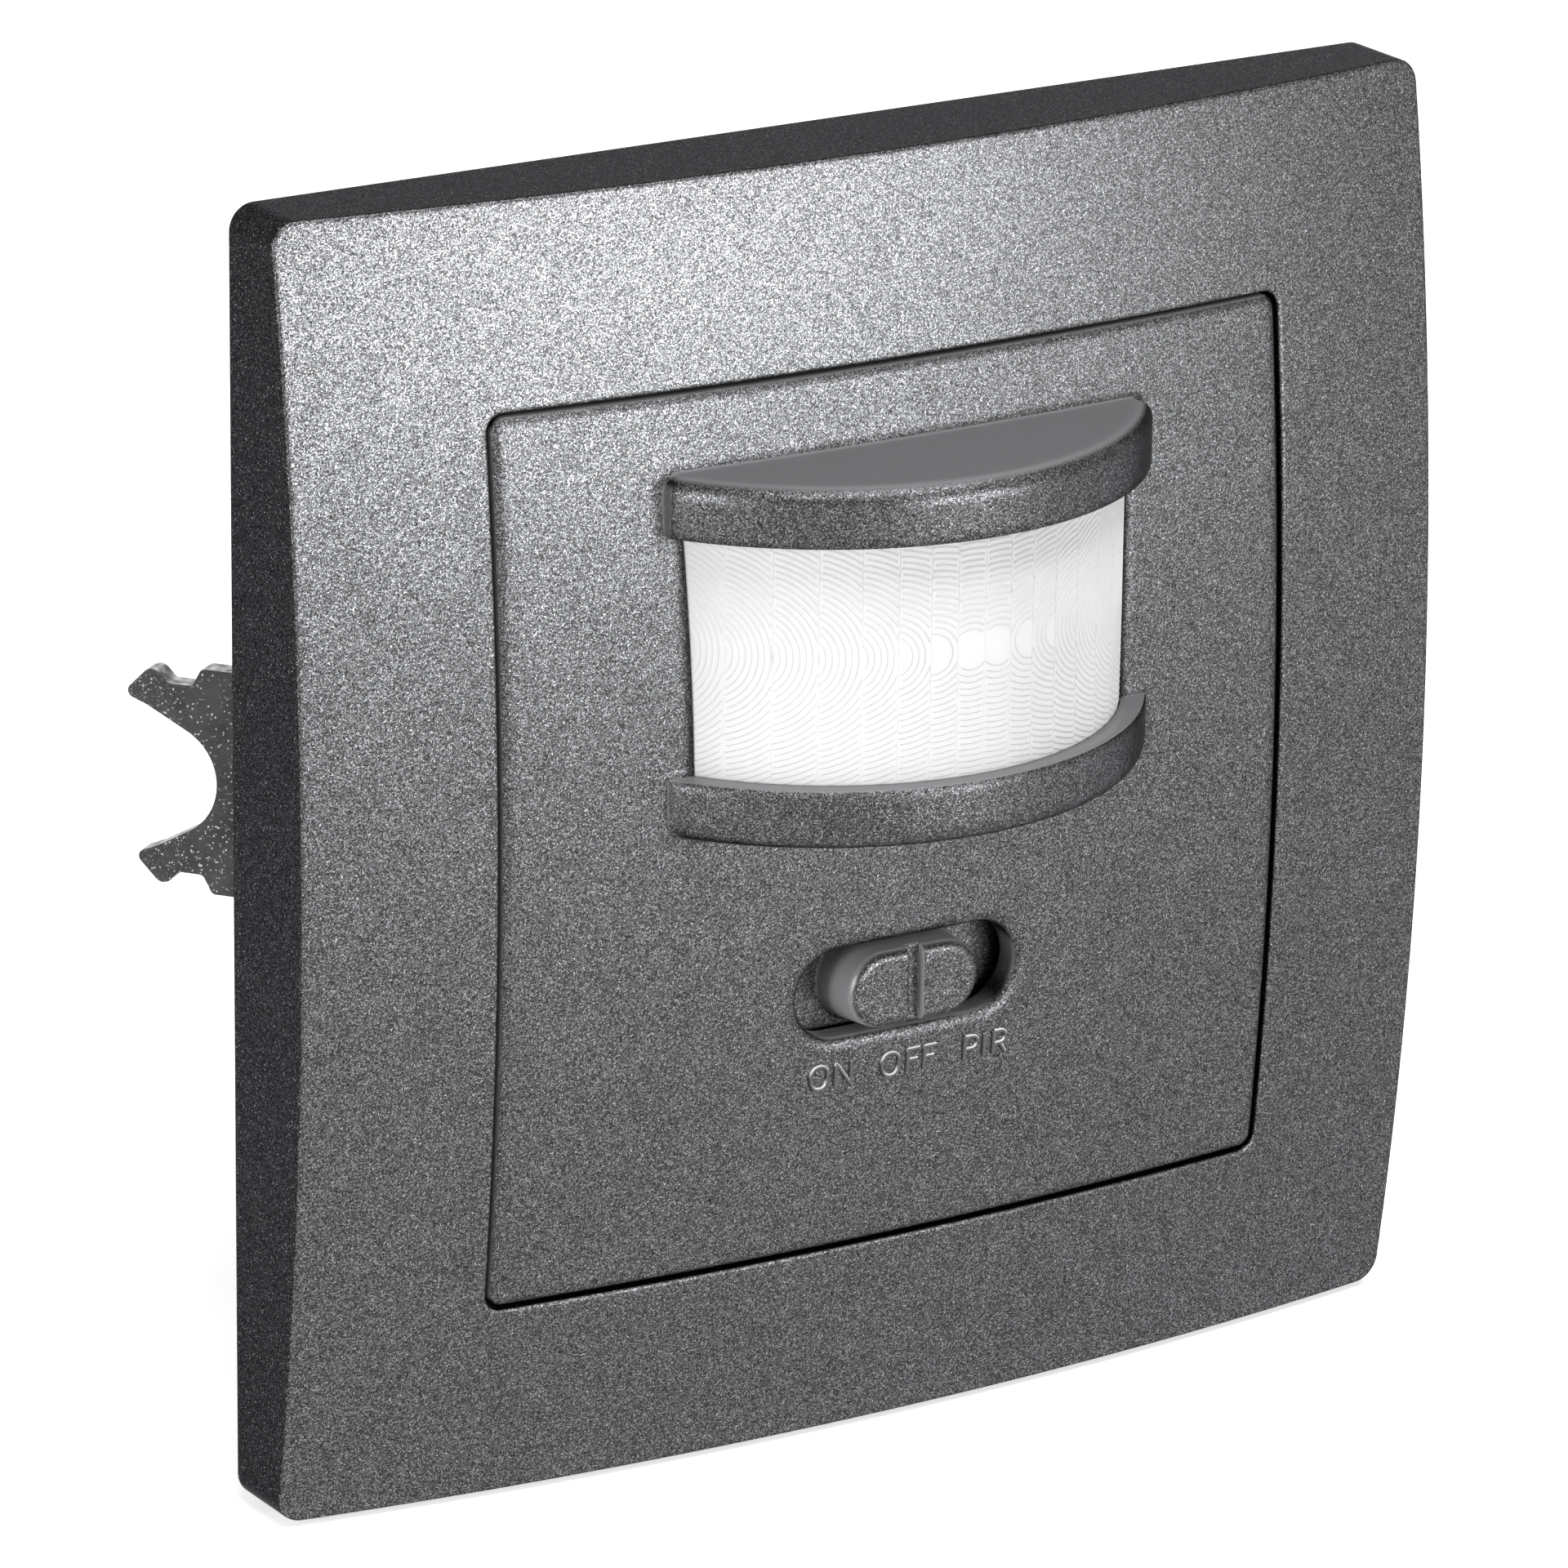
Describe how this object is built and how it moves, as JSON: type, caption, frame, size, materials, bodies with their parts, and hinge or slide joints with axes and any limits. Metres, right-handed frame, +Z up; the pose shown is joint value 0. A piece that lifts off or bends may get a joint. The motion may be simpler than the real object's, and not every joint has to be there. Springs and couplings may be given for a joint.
{
  "type": "motion sensor light switch",
  "caption": "Flush-mounted motion sensor light switch: square domed frame, centre plate with a hooded curved lens over a three-way slider, sensor head, and wall-box insert with spreading claws.",
  "frame": {"origin": "middle of the wall plane, where the backs of the cover frame and of the support frame lie", "axes": "+X to the right as seen from the room, +Y into the wall, +Z up"},
  "size_m": [0.08, 0.0502, 0.08],
  "materials": {
    "anthracite_paint": "metallic lacquer, fine sparkle",
    "lens_plastic": "milky translucent plastic",
    "black_plastic": "moulded",
    "grey_plastic": "moulded",
    "light_plastic": "moulded",
    "white_plastic": "moulded",
    "blue_plastic": "moulded",
    "yellow_plastic": "moulded",
    "red_plastic": "moulded",
    "circuit_board": "solder mask",
    "filter_window": "dark polished filter",
    "bright_steel": "tinned",
    "zinc_steel": "zinc plated",
    "gilt_pins": "plated",
    "brass_clamp": "bare"
  },
  "bodies": {
    "switch": {"cover_frame": "anthracite_paint", "centre_plate": "anthracite_paint", "fresnel_lens": "lens_plastic", "lens_holder": "black_plastic", "slide_switch_shell": "bright_steel", "slide_switch_base": "black_plastic", "sensor_board": "circuit_board", "pir_sensor": "bright_steel", "pir_window": "filter_window", "light_sensor": "lens_plastic", "control_chip": "black_plastic", "lux_trimmer_body": "blue_plastic", "time_trimmer_body": "blue_plastic", "header_base": "black_plastic", "header_pins": "gilt_pins", "connector_socket": "black_plastic", "sensor_back_cover": "grey_plastic", "sensor_screws": "zinc_steel", "support_frame": "zinc_steel", "claw_pins": "zinc_steel", "insert_housing": "grey_plastic", "housing_screws": "zinc_steel", "power_cover": "grey_plastic", "power_board": "circuit_board", "relay": "black_plastic", "x_capacitor": "yellow_plastic", "bridge_rectifier": "black_plastic", "electrolytic_capacitor": "black_plastic", "fuse": "red_plastic", "varistor": "blue_plastic", "terminal_block": "light_plastic", "terminal_clamps": "brass_clamp", "terminal_screws": "zinc_steel"},
    "slider": {"slider_knob": "anthracite_paint", "slide_switch_lever": "white_plastic"},
    "left_claw": {"left_claw": "zinc_steel"},
    "right_claw": {"right_claw": "zinc_steel"},
    "left_claw_screw": {"left_claw_screw": "zinc_steel"},
    "right_claw_screw": {"right_claw_screw": "zinc_steel"},
    "left_claw_nut": {"left_claw_nut": "zinc_steel"},
    "right_claw_nut": {"right_claw_nut": "zinc_steel"},
    "lux_trimmer": {"lux_trimmer_rotor": "white_plastic"},
    "time_trimmer": {"time_trimmer_rotor": "white_plastic"}
  },
  "joints": [
    {"name": "slider_slide", "type": "slide", "parent": "switch", "child": "slider", "axis": [1, 0, 0], "range_m": [-0.0025, 0.0025]},
    {"name": "left_claw_screw_turn", "type": "hinge", "parent": "switch", "child": "left_claw_screw", "pos_m": [-0.0274, 0, 0], "axis": [0, 1, 0], "range_deg": [-1736, 91]},
    {"name": "right_claw_screw_turn", "type": "hinge", "parent": "switch", "child": "right_claw_screw", "pos_m": [0.0274, 0, 0], "axis": [0, 1, 0], "range_deg": [-1736, 91]},
    {"name": "left_claw_hinge", "type": "hinge", "parent": "switch", "child": "left_claw", "pos_m": [-0.0236, 0.0024, 0], "axis": [0, 0, 1], "range_deg": [-38, 2]},
    {"name": "right_claw_hinge", "type": "hinge", "parent": "switch", "child": "right_claw", "pos_m": [0.0236, 0.0024, 0], "axis": [0, 0, -1], "range_deg": [-38, 2]},
    {"name": "left_nut_slide", "type": "slide", "parent": "switch", "child": "left_claw_nut", "axis": [0, 1, 0], "range_m": [-0.00015, 0.00289]},
    {"name": "right_nut_slide", "type": "slide", "parent": "switch", "child": "right_claw_nut", "axis": [0, 1, 0], "range_m": [-0.00015, 0.00289]},
    {"name": "lux_trimmer_turn", "type": "hinge", "parent": "switch", "child": "lux_trimmer", "pos_m": [-0.012, 0.006, 0.008], "axis": [0, 1, 0], "range_deg": [-135, 135]},
    {"name": "time_trimmer_turn", "type": "hinge", "parent": "switch", "child": "time_trimmer", "pos_m": [0.012, 0.006, 0.008], "axis": [0, 1, 0], "range_deg": [-135, 135]}
  ],
  "couplings": [
    {"joint": "left_claw_screw_turn", "follows": "left_nut_slide", "rad_per_m": -10472},
    {"joint": "right_claw_screw_turn", "follows": "right_nut_slide", "rad_per_m": -10472},
    {"joint": "left_claw_hinge", "follows": "left_nut_slide", "rad_per_m": -229.34},
    {"joint": "right_claw_hinge", "follows": "right_nut_slide", "rad_per_m": -229.34}
  ]
}
